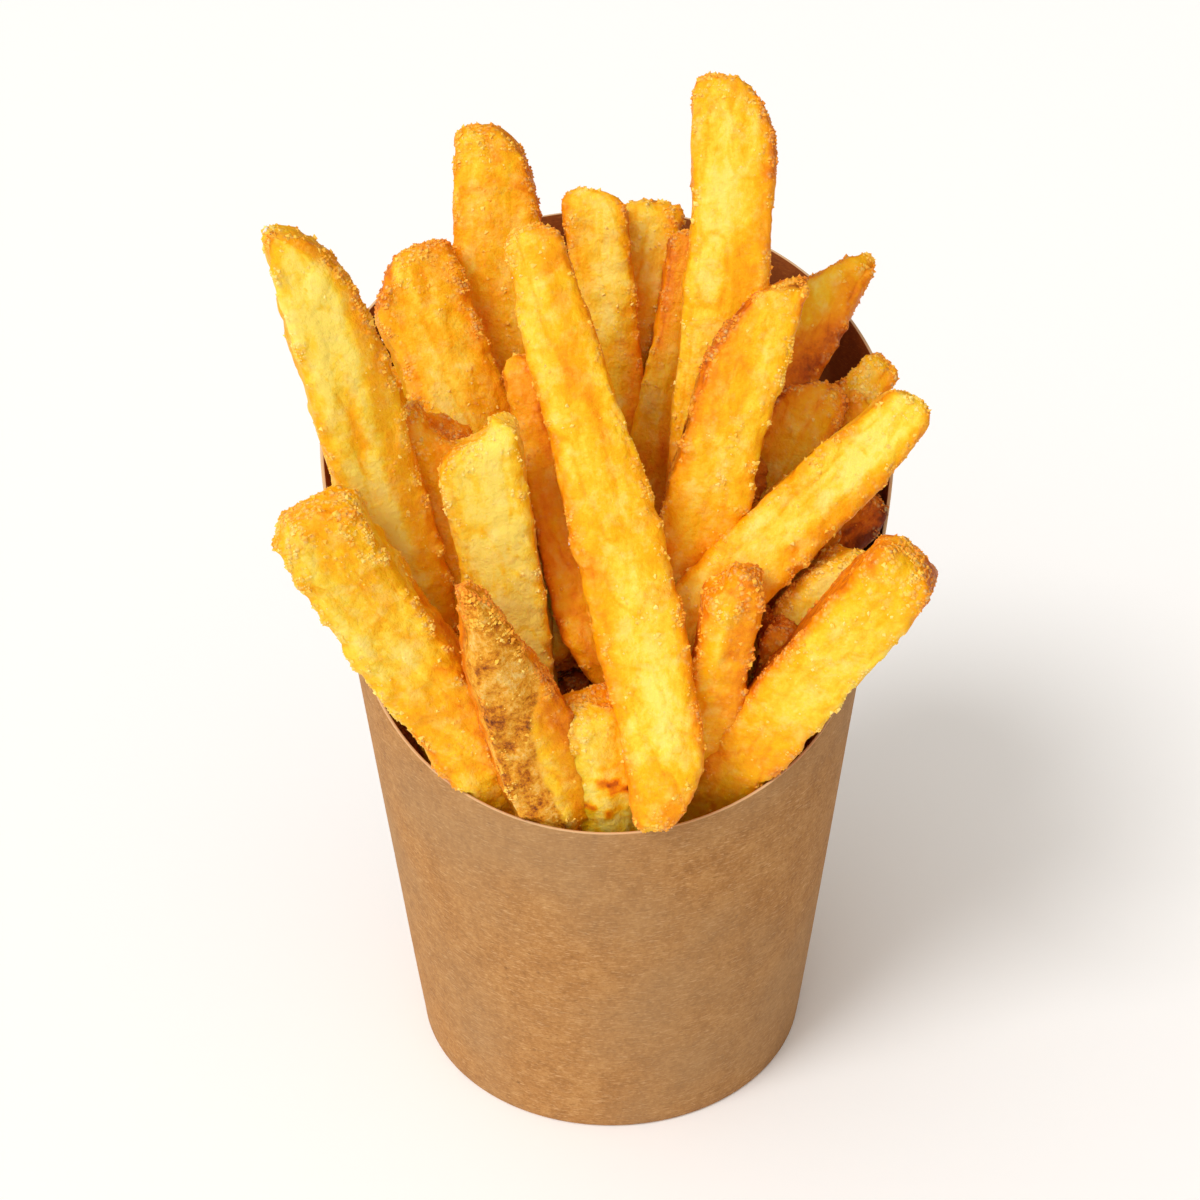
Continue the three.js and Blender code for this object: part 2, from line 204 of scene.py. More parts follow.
def kraft_board(name, light, mid, dark, fleck, cut="#dcb78a"):
    """Unbleached kraft board, calendered: matt brown with long pale and dark fibres, cloudy
    formation 4 mm across, and a fine tooth that only catches grazing light. Where the die cut it,
    as the attribute cut says, the paler middle ply shows, and the lined face is darker and warmer."""
    made = bpy.data.materials.new(name)
    made.use_nodes = True
    tree = made.node_tree
    tree.nodes.clear()
    place = add_node(tree, "TexCoord").outputs["Object"]
    formation = {"Vector": place, "Scale": per_metre(3.846), "Detail": 6.0, "Roughness": 0.7}
    cloud = add_node(tree, "TexNoise", formation)
    fine = {"Vector": place, "Scale": per_metre(0.6667), "Detail": 4.0, "Roughness": 0.7}
    fine = add_node(tree, "TexNoise", fine)
    mixed = add_node(tree, "Math", {0: cloud.outputs[0], 1: fine.outputs[0]}, operation="ADD")
    spread = add_node(tree, "MapRange", {"Value": mixed.outputs[0], "From Min": 0.7, "From Max": 1.3})
    tint = add_node(
        tree,
        "ValToRGB",
        {"Fac": spread.outputs[0]},
        stops=[(0.0, linear(dark)), (0.5, linear(mid)), (1.0, linear(light))],
    )
    # shives: dark specks of bark 0.5 mm across, in a few of the cells of a 2.4 mm mesh
    cells = {"Vector": place, "Scale": per_metre(2.381), "Randomness": 1.0}
    cells = add_node(tree, "TexVoronoi", cells)
    near = {"Value": cells.outputs["Distance"], "From Min": 0.16, "From Max": 0.06}
    spot = add_node(tree, "MapRange", near)
    seldom = add_node(tree, "Math", {0: cells.outputs["Color"], 1: 0.8}, operation="GREATER_THAN")
    spot = add_node(tree, "Math", {0: spot.outputs[0], 1: seldom.outputs[0]}, operation="MULTIPLY")
    spot = add_node(tree, "Math", {0: spot.outputs[0], 1: 0.5}, operation="MULTIPLY")
    colour = add_node(
        tree,
        "Mix",
        {0: spot.outputs[0], 6: tint.outputs[0], 7: linear(fleck)},
        data_type="RGBA",
    )
    # fibres 1.3 mm long and 0.2 mm wide in three lays, two of them pale and one dark
    for lean, shade in ((0.35, "#dcb27c"), (-0.8, "#dcb27c"), (1.2, "#7d5429")):
        lay = {"Vector": place, "Scale": (1.0, 1.0, 6.0), "Rotation": (lean, lean, 0.0)}
        lay = add_node(tree, "Mapping", lay).outputs[0]
        fibre = {"Vector": lay, "Scale": per_metre(1.25), "Detail": 1.0, "Distortion": 0.8}
        fibre = add_node(tree, "TexNoise", fibre).outputs[0]
        fibre = {"Value": fibre, "From Min": 0.6, "From Max": 0.74, "To Max": 0.5}
        fibre = add_node(tree, "MapRange", fibre).outputs[0]
        laid = {0: fibre, 6: colour.outputs[2], 7: linear(shade)}
        colour = add_node(tree, "Mix", laid, data_type="RGBA")
    # greyer areas 30 mm across
    area = {"Vector": place, "Scale": per_metre(31.25), "Detail": 2.0}
    area = add_node(tree, "TexNoise", area).outputs[0]
    area = {"Value": area, "From Min": 0.42, "From Max": 0.66, "To Max": 0.4}
    area = add_node(tree, "MapRange", area).outputs[0]
    greyed = {0: area, 6: colour.outputs[2], 7: linear("#a2835e")}
    colour = add_node(tree, "Mix", greyed, data_type="RGBA")
    bare = add_node(tree, "Attribute", attribute_name="cut").outputs["Fac"]
    colour = add_node(tree, "Mix", {0: bare, 6: colour.outputs[2], 7: linear(cut)}, data_type="RGBA")
    # the lined inner face is multiplied darker and warmer
    lined = add_node(tree, "Attribute", attribute_name="lining").outputs["Fac"]
    inner_face_darker = {0: lined, 6: colour.outputs[2], 7: linear("#cb955c")}
    colour = add_node(tree, "Mix", inner_face_darker, data_type="RGBA", blend_type="MULTIPLY")
    tooth = add_node(tree, "Bump", {"Height": mixed.outputs[0], "Strength": 0.35, "Distance": 0.00012})
    rough = add_node(tree, "MapRange", {"Value": fine.outputs[0], "To Min": 0.72, "To Max": 0.92})
    shader = add_node(
        tree,
        "BsdfPrincipled",
        {"Base Color": colour.outputs[2], "Roughness": rough.outputs[0], "Normal": tooth.outputs[0]},
    )
    shader.inputs["Specular IOR Level"].default_value = 0.25
    shader.inputs["IOR"].default_value = 1.5
    add_node(tree, "OutputMaterial", {"Surface": shader.outputs[0]})
    return made


board_out = kraft_board("kraft_board_unbleached", "#c08e54", "#ae7a43", "#976636", "#6d4423")
sections, values = wall_points()
faces = grid_faces(sections.shape[0], sections.shape[1], closed_rows=True)
cup_wall = lay_mesh("cup_wall_board", sections.reshape(-1, 3), faces, board_out, values)
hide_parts("cup_wall")

# ---------------------------------------------------------------------------------------------
# Cup floor. A disc of the same board with its edge turned down into the wall's fold, set 7 mm
# up so that the cup stands on its rim. Its board has colours of its own.

FLOOR_TOP = FOLD_HEIGHT + GAP + BOARD
FLANGE_FOOT = 0.8  # height of the flange's lower edge over the table


def floor_points():
    """A disc that dishes by 0.3 mm towards its middle, with a flange turned down at its edge, as
    rings from the top's middle, over the edge and back to the underside's middle."""
    edge = FOOT_RADIUS - BOARD - GAP
    out = np.linspace(0.02, 1, 24)
    top_r = out * edge
    top_z = FLOOR_TOP - 0.3 * (1 - out**2)
    under_r = top_r[-2::-1].copy()
    under_r[0] = edge - BOARD - 0.1
    under_z = top_z[-2::-1] - BOARD
    r = np.concatenate([top_r, [edge, edge - BOARD, edge - BOARD], under_r])
    z = np.concatenate([top_z, [FLANGE_FOOT, FLANGE_FOOT, FLOOR_TOP - BOARD], under_z])
    turn = np.radians(np.arange(0, 360, 3.0))[:, None]
    return np.stack([r * np.sin(turn), -r * np.cos(turn), z + 0 * turn], -1)


def turned_faces(sections):
    """Faces of a solid turned round its axis. Its sections run from the top's middle out and back
    to the underside's middle, and one polygon closes each middle."""
    turns, count = sections.shape[:2]
    faces = grid_faces(turns, count, closed_rows=True)
    faces = faces[(faces[:, 0] % count) != count - 1].tolist()
    middle = np.arange(turns) * count
    return faces + [middle[::-1].tolist(), (middle + count - 1).tolist()]


board_in = kraft_board("kraft_board_film_lined", "#c79663", "#b07c4a", "#8d5f36", "#5f3a1d")
disc = floor_points()
faces = turned_faces(disc)
cup_floor = lay_mesh("cup_floor_disc", disc.reshape(-1, 3), faces, board_in)
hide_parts("cup_floor")

# ---------------------------------------------------------------------------------------------
# Fries. Potatoes cut lengthwise into sticks about 8 to 12 mm square, dipped in a thin batter and
# deep-fried. The flat sides sink a little, the edges crisp into raised granular ridges, ends and
# outer cuts brown first, and pieces from the potato's outside keep some freckled skin.

CAP = 2.5  # length over which an end rounds off
CAP_POWER = 2 / 2.4  # a superellipse of power 2.4 rounds it
SQUARENESS = 6.5  # power of the section's superellipse
PITCH = 0.44  # spacing of the surface's points where it shows
SPARSE = 0.33  # share of the rings kept deep inside the cup
WALL_CLEAR = 0.35  # how near a fry comes to the board
CROWDED_WITHIN = 4.5  # distance at which a neighbour's painted shade begins


def section_loop(wide, deep, squareness, count):
    """Points round a superellipse |x/a|^p + |y/b|^p = 1 as shares of the half width and half
    depth, spaced along its length but closer round the edges and on the broad front face.
    Anticlockwise seen from the tip."""
    turn = np.linspace(0, 2 * np.pi, 1441)
    power = 2 / squareness
    x = np.sign(np.cos(turn)) * np.abs(np.cos(turn)) ** power
    y = np.sign(np.sin(turn)) * np.abs(np.sin(turn)) ** power
    weight = (1 + 0.9 * np.abs(x * y)[1:] ** 4) * (1 + 0.4 * y[1:])
    reach = np.concatenate([[0], np.cumsum(np.hypot(np.diff(x) * wide, np.diff(y) * deep) * weight)])
    even = np.linspace(0, reach[-1], count, endpoint=False)
    return np.interp(even, reach, x), np.interp(even, reach, y)


def fry_axes(foot, tip, roll):
    """Unit vectors of a fry: along it, out of its broad face (towards the front and up, square to
    its length, then rolled), and to the right across that face."""
    along = np.subtract(tip, foot).astype(float)
    length = np.linalg.norm(along)
    along /= length
    face = np.array([0, -1, 0.6])
    face -= (face @ along) * along
    face /= np.linalg.norm(face)
    face = face * np.cos(np.radians(roll)) + np.cross(along, face) * np.sin(np.radians(roll))
    return length, along, face, np.cross(along, face)


def stations_along(foot, along, length, pitch):
    """Places of the rings along a fry: pitch apart where it stands clear of the cup, up to three
    times as far deep inside, and closing up in steps of a quarter turn over each rounded end.
    Returns the places and how far the ends shrink there."""
    even = np.linspace(CAP, length - CAP, 300)
    middle = np.asarray(foot) + even[:, None] * along
    turn = np.degrees(np.arctan2(middle[:, 0], -middle[:, 1]))
    density = SPARSE + (1 - SPARSE) * rise(middle[:, 2] - rim_height(turn), -26, -8)
    reach = np.concatenate([[0], np.cumsum((density[1:] + density[:-1]) / 2 * np.diff(even))])
    places = np.interp(np.linspace(0, reach[-1], max(8, int(reach[-1] / pitch))), reach, even)
    quarter = np.linspace(0.05, np.pi / 2, 8)[:-1]
    cap_shrink = np.sin(quarter) ** CAP_POWER
    cap_place = CAP * (1 - np.cos(quarter) ** CAP_POWER)
    station = np.concatenate([cap_place, places, (length - cap_place)[::-1]])
    return station, np.concatenate([cap_shrink, np.ones(len(places)), cap_shrink[::-1]])


def curved_in(share, ease):
    """How far an edge has curved in, 0 to 1, along a superellipse of power ease: 2 is a quarter
    ellipse, 1 a straight cut."""
    return 1 - (1 - np.clip(share, 0, 1) ** ease) ** (1 / ease)


def press_into_cup(points):
    """Where a fry would pass through the board it is pressed flat against it: below the rim its
    points stay inside the wall's inner face."""
    turn = np.degrees(np.arctan2(points[..., 0], -points[..., 1]))
    radius = np.hypot(points[..., 0], points[..., 1])
    inside = cone_radius(points[..., 2]) - BOARD - WALL_CLEAR
    below = points[..., 2] < rim_height(turn) + WALL_CLEAR
    squeeze = np.where(below & (radius > inside), inside / np.maximum(radius, 1e-6), 1)
    points[..., 0] *= squeeze
    points[..., 1] *= squeeze
    return points


def painted_crevice_shade(points, own_foot):
    """How closely other fries crowd a point, 0 to 1, which is painted as shade in the crevices: the
    distance to each fry's middle line, less its mean half width, falls from 1 at contact to 0 at
    CROWDED_WITHIN."""
    crowded = np.zeros(points.shape[:-1])
    for foot, tip, wide, deep in sticks:
        if foot == own_foot:
            continue
        line = np.subtract(tip, foot).astype(float)
        along = np.clip((points - foot) @ line / (line @ line), 0, 1)
        apart = np.linalg.norm(points - foot - along[..., None] * line, axis=-1) - (wide + deep) / 4
        crowded = np.maximum(crowded, rise(-apart, -CROWDED_WITHIN, 0.5))
    return crowded


def fry_surface(
    foot, tip, wide, deep, roll=0, bow=0, cut=3, blunt=0.7, point=0, ease=2, slim=1, taper=30,
    heel=3, heel_blunt=0.7, slant=0, roof=0.8, roof_at=0.0, roof_gold=0.1, gold=0.3, side_gold_and_shade=0.3,
    browned=0.14, scorch=0, pitted=1, ragged=1, skin=None, pitch=PITCH, seed=1,
):
    """One fry as rings of points from foot to tip, with how golden, granular and skin-covered each
    point is, and lie, its place in the fry with the length drawn in. The section is a squarish
    superellipse whose sides sink, and its broad face folds along a wandering ridge, roof high. At
    each end one edge curves in over the length cut or heel, leaving the share blunt of the width,
    and point moves the tip's middle back by so much. Long swells, plates of crust 3 mm across,
    lengthwise creases and blisters move the surface along its normal, and the edges are ragged
    and granular. skin says how far across the peel reaches low down, and over which stretch from
    the tip it spreads over the whole face."""
    length, along, face, right = fry_axes(foot, tip, roll)
    station, shrink = stations_along(foot, along, length, pitch)
    u, v = section_loop(wide, deep, SQUARENESS, int(2 * (wide + deep) * 0.9 / pitch))
    station = station[:, None]
    shrink = shrink[:, None]
    share = station / length
    left = length - station
    local = np.random.default_rng(seed)
    phase = local.uniform(0, 6.3, 6)
    sunk = local.uniform(0.02, 0.08, 2)

    # the outline: how wide and deep the fry is at each station
    past = np.clip(1 - left / abs(cut), 0, 1)
    before = np.clip(1 - station / abs(heel), 0, 1)
    full = wide * (slim + (1 - slim) * np.sin(np.pi / 2 * np.clip(left / taper, 0, 1)))
    tip_lost = (1 - blunt) * full * curved_in(past, ease)
    heel_lost = (1 - heel_blunt) * full * curved_in(before, 1.6)
    wave = 1 + 0.03 * np.sin(station / 7 + phase[0]) + 0.02 * np.sin(station / 3.1 + phase[1])
    half_wide = (full * wave - tip_lost - heel_lost) / 2 * shrink
    half_deep = deep / 2 * (1 + 0.05 * np.sin(station / 6 + phase[2])) * shrink
    half_deep = half_deep * (1 - (1 - blunt) * 0.45 * past**2)
    half_deep = half_deep * (1 - (1 - heel_blunt) * 0.45 * before**2)

    # the section: sunk sides, a folded broad face, a shifted tip and heel, and torn ends
    x = u * half_wide * (1 - sunk[0] * (1 - v**2) ** 2)
    y = v * half_deep * (1 - sunk[1] * (1 - u**2) ** 2)
    fold_at = roof_at + 0.16 * np.sin(station / 16 + phase[4]) + 0.07 * np.sin(station / 5 + phase[5])
    fold = 1 - np.abs(u - fold_at) / (1 + np.abs(fold_at))
    y = y + roof * (fold - 0.5) * rise(v, 0.2, 1) * shrink
    x = x - np.sign(cut) * (tip_lost / 2 - point * rise(left, 14, 0)) - np.sign(heel) * heel_lost / 2
    z = station + slant * u * rise(left, 9, 0) + 0 * x
    torn = grain(np.stack([x + 40 * seed, y, 0 * x], -1), 3.6, 7)
    z = z + 0.5 * ragged * torn * (rise(left, 4, 0) - rise(station, 4, 0))

    # the crust: noises of each real size, read where this fry lies in a field of its own
    where = np.stack([x, y, z], -1) + seed * np.array([17.3, 5.1, 9.7])
    edge = np.clip(np.abs(u * v), 0, 1) * np.ones_like(x)
    ridge = rise(edge, 0.62, 0.92)
    broad = grain(where * (1, 1, 0.55), 12, 11)
    lump = grain(where * (1, 1, 0.6), 4.2, 12)
    blister = grain(where, 2.1, 13)
    grit = grain(where, 0.95, 14)
    plate = rise(grain(where * (1, 1, 0.5), 3.0, 17) + 0.5 * blister, 0.0, 0.22)
    sheet = rise(grain(where * (1, 1, 0.4), 6.0, 19) + 0.4 * blister, -0.08, 0.08)
    streak = grain(where * (1, 1, 0.17), 2.3, 16)
    patch = grain(where * (1, 1, 0.35), 4.6, 20)
    crease = (1 - np.abs(grain(where * (1, 1, 0.38), 3.4, 15) + 0.2 * blister)) ** 12
    sliced = rise(past, 0, 0.25) * rise(np.sign(cut) * u, 0.45, 0.95)
    end = np.maximum(np.exp(-left / 3.2), 0.8 * sliced) + 0.8 * np.exp(-station / 3.2)
    swell = 0.28 * broad + 0.2 * lump + 0.15 * plate + 0.15 * sheet - 0.16 * crease
    swell = swell + (0.1 + 0.1 * ridge) * pitted * blister
    swell = swell + pitted * (0.06 + 0.2 * ridge + 0.14 * np.minimum(end, 1)) * grit
    swell = swell + ridge * ragged * (0.14 + 0.26 * grain(where, 1.4, 18))
    around = np.roll(where, -1, 1) - np.roll(where, 1, 1)
    lengthwise = np.gradient(where, axis=0)
    normal = np.cross(around, lengthwise)
    normal /= np.maximum(np.linalg.norm(normal, axis=-1, keepdims=True), 1e-9)
    shape = np.stack([x, y, z], -1) + normal * (swell * shrink**0.5)[..., None]

    # the fry bent and laid between its foot and its tip
    curve = 4 * share * (1 - share)
    drift = 0.45 * np.sin(share * 5 + phase[3]) * curve
    points = (
        np.asarray(foot, float)
        + (shape[..., 0] + bow * curve + drift)[..., None] * right
        + shape[..., 1][..., None] * face
        + shape[..., 2][..., None] * along
    )
    points = press_into_cup(points)

    # how golden each point is: rims and ends more from frying, sides and back more from frying and
    # painted shade, what lies crowded or deep in the heap more as painted shade, plates of crust and
    # the middle of the broad face less
    front = rise(v, 0.3, 0.9)
    body = rise(shrink, 0.5, 1)
    shift = 0.12 * broad + 0.1 * streak + 0.26 * patch + 0.05 * blister - 0.07 * sheet
    rim_gold = 0.3 * np.clip(0.5 + 1.6 * grain(where * (1, 1, 0.5), 9, 22), 0, 1.2)
    # sides and back, turned from the front and the light, more golden: part browning, part painted
    # shade
    shift = shift + (side_gold_and_shade * (1 - front) + rim_gold * rise(np.abs(u), 0.66, 1) * front) * body
    shift = shift - 0.1 * (1 - u**2) * front * (1 + patch) + 0.18 * crease - 0.05 * plate
    shift = shift + roof_gold * rise(u - fold_at + 0.2 * lump, -0.2, 0.3) * front * body
    # ends a little more golden, and painted shade where other fries lie close
    shift = shift + 0.1 * (1 - body) + 0.2 * painted_crevice_shade(points, foot)
    golden = gold + 0.03 + 0.34 * np.tanh(shift / 0.34)
    golden = golden + browned * end * (1 + 0.8 * lump)
    golden = golden + scorch * rise(left, 8, 12) * rise(grain(where, 1.6, 21) + 0.5 * grit, -0.2, 0.7)
    # painted shade: more golden deeper in the heap, lower down and further back
    golden = golden + 0.28 * rise(70 - points[..., 2] + 0.45 * points[..., 1], 0, 40)
    granular = ridge * 0.9 + 0.12 + 0.25 * lump + 0.7 * np.minimum(end, 1)
    granular = np.clip(pitted * granular * rise(grit + 0.4 * blister + 0.4 * end, -0.1, 0.6), 0, 1)
    peel = np.zeros_like(x)
    if skin:
        low, begins, ends = skin
        reach = low + (1.3 - low) * rise(left, ends, begins) + 0.16 * lump + 0.1 * blister
        peel = rise(reach - u, -0.05, 0.07) * rise(v, -0.6, 0)
    lie = where * (1, 1, 0.42)
    return points, {"golden": golden, "granular": granular, "skin": peel, "lie": lie}


def join_fries(fries, pitch=PITCH, first_seed=1):
    """Rings of every fry in the list joined into one mesh, each end closed by a point."""
    all_points, all_faces, all_values = [], [], {"golden": [], "granular": [], "skin": [], "lie": []}
    start = 0
    for number, fry in enumerate(fries):
        points, values = fry_surface(**fry, pitch=pitch, seed=first_seed + number)
        rows, columns = points.shape[:2]
        ends = np.stack([points[0].mean(0), points[-1].mean(0)])
        all_points += [points.reshape(-1, 3), ends]
        all_faces.append(grid_faces(rows, columns, start))
        ring = np.arange(columns)
        foot_ring = start + ring
        tip_ring = start + (rows - 1) * columns + ring
        foot_pole = start + rows * columns
        all_faces.append(np.stack([np.roll(foot_ring, -1), foot_ring, foot_pole + 0 * ring], -1))
        all_faces.append(np.stack([tip_ring, np.roll(tip_ring, -1), foot_pole + 1 + 0 * ring], -1))
        for key, value in values.items():
            flat = value.reshape(rows * columns, *value.shape[2:])
            all_values[key] += [flat, np.stack([value[0].mean(0), value[-1].mean(0)])]
        start += rows * columns + 2
    faces = [face for block in all_faces for face in block.tolist()]
    values = {key: np.concatenate(value) for key, value in all_values.items()}
    return np.concatenate(all_points), faces, values


def fried_potato():
    """Deep-fried potato in a thin batter: pale yellow where the inside shows through, golden to
    orange where the crust is thicker, brown at the ends. The golden attribute also carries painted
    shade: deeper orange, in part, on the sides, and low in the heap and between fries. Slightly
    translucent, with a faint oil sheen, and pale crisp granules that stand on the edges."""
    made = bpy.data.materials.new("fried_potato_battered")
    made.use_nodes = True
    tree = made.node_tree
    tree.nodes.clear()
    place = add_node(tree, "TexCoord").outputs["Object"]
    golden = add_node(tree, "Attribute", attribute_name="golden").outputs["Fac"]
    granular = add_node(tree, "Attribute", attribute_name="granular").outputs["Fac"]
    skin = add_node(tree, "Attribute", attribute_name="skin").outputs["Fac"]
    lie = add_node(tree, "Attribute", attribute_name="lie").outputs["Vector"]

    # streaks along the fry 2.4 mm wide, and mottling 3 mm and 0.9 mm across, each move the frying
    # stage up or down by its reach. lie is in millimetres, so its scale is a share of one.
    drawn = {"Vector": lie, "Scale": 0.42, "Detail": 4.0, "Roughness": 0.55, "Distortion": 1.2}
    mottled = {"Vector": place, "Scale": per_metre(3.03), "Detail": 5.0, "Roughness": 0.62}
    specked = {"Vector": place, "Scale": per_metre(0.8696), "Detail": 3.0, "Roughness": 0.65}
    sweep = add_node(tree, "TexNoise", drawn).outputs[0]
    blotch = add_node(tree, "TexNoise", mottled).outputs[0]
    speck = add_node(tree, "TexNoise", specked).outputs[0]
    stage = golden
    for noise, reach in ((sweep, 0.22), (blotch, 0.22), (speck, 0.16)):
        shift = add_node(tree, "MapRange", {"Value": noise, "To Min": -reach, "To Max": reach})
        stage = add_node(tree, "Math", {0: stage, 1: shift.outputs[0]}, operation="ADD").outputs[0]
    crust = add_node(
        tree,
        "ValToRGB",
        {"Fac": stage},
        stops=[
            (0.0, linear("#fddd62")),
            (0.12, linear("#fdd038")),
            (0.28, linear("#fcb90c")),
            (0.48, linear("#f8a002")),
            (0.66, linear("#ea8202")),
            (0.84, linear("#c05a04")),
            (1.0, linear("#742c06")),
        ],
    )

    # torn cream patches 3 mm across on the pale faces: in part batter dried to cream where it lies
    # thickest, in part painted highlight
    cream_and_highlight_patch = {"Vector": place, "Scale": per_metre(2.778), "Detail": 6.0, "Roughness": 0.66}
    cream_and_highlight_patch = add_node(tree, "TexNoise", cream_and_highlight_patch).outputs[0]
    cream_and_highlight_patch = {"Value": cream_and_highlight_patch, "From Min": 0.5, "From Max": 0.64, "To Max": 0.42}
    cream_and_highlight_patch = add_node(tree, "MapRange", cream_and_highlight_patch)
    young = add_node(tree, "MapRange", {"Value": stage, "From Min": 0.55, "From Max": 0.15})
    cream_and_highlight_patch = add_node(tree, "Math", {0: cream_and_highlight_patch.outputs[0], 1: young.outputs[0]}, operation="MULTIPLY")
    cream_and_highlight = {0: cream_and_highlight_patch.outputs[0], 6: crust.outputs[0], 7: linear("#fddf84")}
    crust = add_node(tree, "Mix", cream_and_highlight, data_type="RGBA")

    # crisp batter granules: pale tops in cells 0.8 mm across
    crumb = {"Vector": place, "Scale": per_metre(0.7692), "Randomness": 1.0}
    crumb = add_node(tree, "TexVoronoi", crumb).outputs["Distance"]
    crumb_top = add_node(tree, "MapRange", {"Value": crumb, "From Min": 0.55, "From Max": 0.15})
    grit = add_node(tree, "Math", {0: crumb_top.outputs[0], 1: granular}, operation="MULTIPLY")
    pale = add_node(tree, "Math", {0: grit.outputs[0], 1: 0.7}, operation="MULTIPLY")
    crusted = {0: pale.outputs[0], 6: crust.outputs[2], 7: linear("#fcd88e")}
    crusted = add_node(tree, "Mix", crusted, data_type="RGBA")

    # skin: golden brown, paler and darker by patches of 3 mm and freckles of 0.7 mm
    freckle = {"Vector": place, "Scale": per_metre(0.6667), "Detail": 4.0, "Roughness": 0.75}
    freckle = add_node(tree, "TexNoise", freckle)
    skin_mix = add_node(tree, "Mix", {0: 0.58, 2: freckle.outputs[0], 3: blotch}, data_type="FLOAT")
    skin_tint = add_node(
        tree,
        "ValToRGB",
        {"Fac": skin_mix.outputs[0]},
        stops=[
            (0.0, linear("#3d1405")),
            (0.36, linear("#6a2c08")),
            (0.42, linear("#b8640c")),
            (0.48, linear("#e08e14")),
            (0.54, linear("#f2ae34")),
            (0.62, linear("#f8ca70")),
            (1.0, linear("#fbdc98")),
        ],
    )
    colour = add_node(
        tree,
        "Mix",
        {0: skin, 6: crusted.outputs[2], 7: skin_tint.outputs[0]},
        data_type="RGBA",
    )

    # relief up to 0.4 mm: mottling, grit where it is granular, and wrinkles where there is skin
    relief = add_node(tree, "Math", {0: speck, 1: grit.outputs[0]}, operation="ADD")
    relief = add_node(tree, "Math", {0: relief.outputs[0], 1: blotch}, operation="ADD")
    wrinkle = add_node(tree, "Math", {0: skin_mix.outputs[0], 1: skin}, operation="MULTIPLY")
    wrinkle = add_node(tree, "Math", {0: wrinkle.outputs[0], 1: 3.0}, operation="MULTIPLY")
    relief = add_node(tree, "Math", {0: relief.outputs[0], 1: wrinkle.outputs[0]}, operation="ADD")
    bump = add_node(tree, "Bump", {"Height": relief.outputs[0], "Strength": 0.7, "Distance": 0.0004})
    rough = add_node(tree, "MapRange", {"Value": blotch, "To Min": 0.34, "To Max": 0.62})
    shader = add_node(
        tree,
        "BsdfPrincipled",
        {"Base Color": colour.outputs[2], "Roughness": rough.outputs[0], "Normal": bump.outputs[0]},
    )
    shader.inputs["IOR"].default_value = 1.45
    shader.inputs["Specular IOR Level"].default_value = 0.2
    shader.inputs["Subsurface Weight"].default_value = 0.3
    shader.inputs["Subsurface Radius"].default_value = (1.0, 0.5, 0.15)
    shader.inputs["Subsurface Scale"].default_value = 0.001
    add_node(tree, "OutputMaterial", {"Surface": shader.outputs[0]})
    return made


potato = fried_potato()

# Each fry: the middles of its foot and tip, its width and depth, its roll round its length, its
# bow, the length over which an edge curves in to the tip and the share of width left there, and
# what sets its colour and crust apart. The front row starts with the one that leans across the
# middle and ends low at the lip, and the packed ones fill the cup behind the rows that show.
front_fries = [
    dict(foot=(9.2, -37.8, 65), tip=(-10, -2, 136.5), wide=11.8, deep=9.6, bow=1, slim=0.6,
         taper=42, heel=13, heel_blunt=0.3, roof_at=0.1, roof_gold=0.1, gold=0.25, browned=0.1),
    dict(foot=(-9.6, -25.5, 52), tip=(-38, -31, 111), wide=11.8, deep=8, roll=-8, cut=4, gold=0.29,
         side_gold_and_shade=0.1, browned=0.02, roof_at=-0.5, roof_gold=0.14, pitted=2, ragged=0.6),
    dict(foot=(-17, -13, 44), tip=(-35.8, -22, 145.5), wide=11.3, deep=8, roll=12, bow=-2, cut=26,
         blunt=0.03, gold=0.12, roof=1.2, roof_at=0.35, roof_gold=0.38),
    dict(foot=(2, -24, 17), tip=(-15.7, -36, 102.5), wide=12, deep=8, roll=12, cut=24, blunt=0.1,
         point=2.6, ease=1.3, browned=0.05, gold=0.4, skin=(-0.12, 11, 23), pitted=1.4, roof_at=-0.1),
    dict(foot=(5, -27, 27), tip=(-3, -30.5, 81), wide=10.5, deep=8, slim=0.75, taper=20, gold=0.2,
         side_gold_and_shade=0.05, roof_gold=0, pitted=1.3, browned=0.06, scorch=0.7),
    # a short stub low in the hole: its dark gold is painted shade
    dict(foot=(0, -19, 60), tip=(-7, -11, 72), wide=8, deep=8, gold=0.7, pitted=1.8),
    dict(foot=(9, -24, 33), tip=(17, -26, 97), wide=8.5, deep=8, cut=4, blunt=0.6, slim=0.85,
         slant=1.6, gold=0.3, roof_gold=0.2, browned=0.04, pitted=1.6),
    dict(foot=(20, -19, 60), tip=(24.6, -20, 86.5), wide=6, deep=7, gold=0.42, browned=0.04,
         pitted=1.8),
]
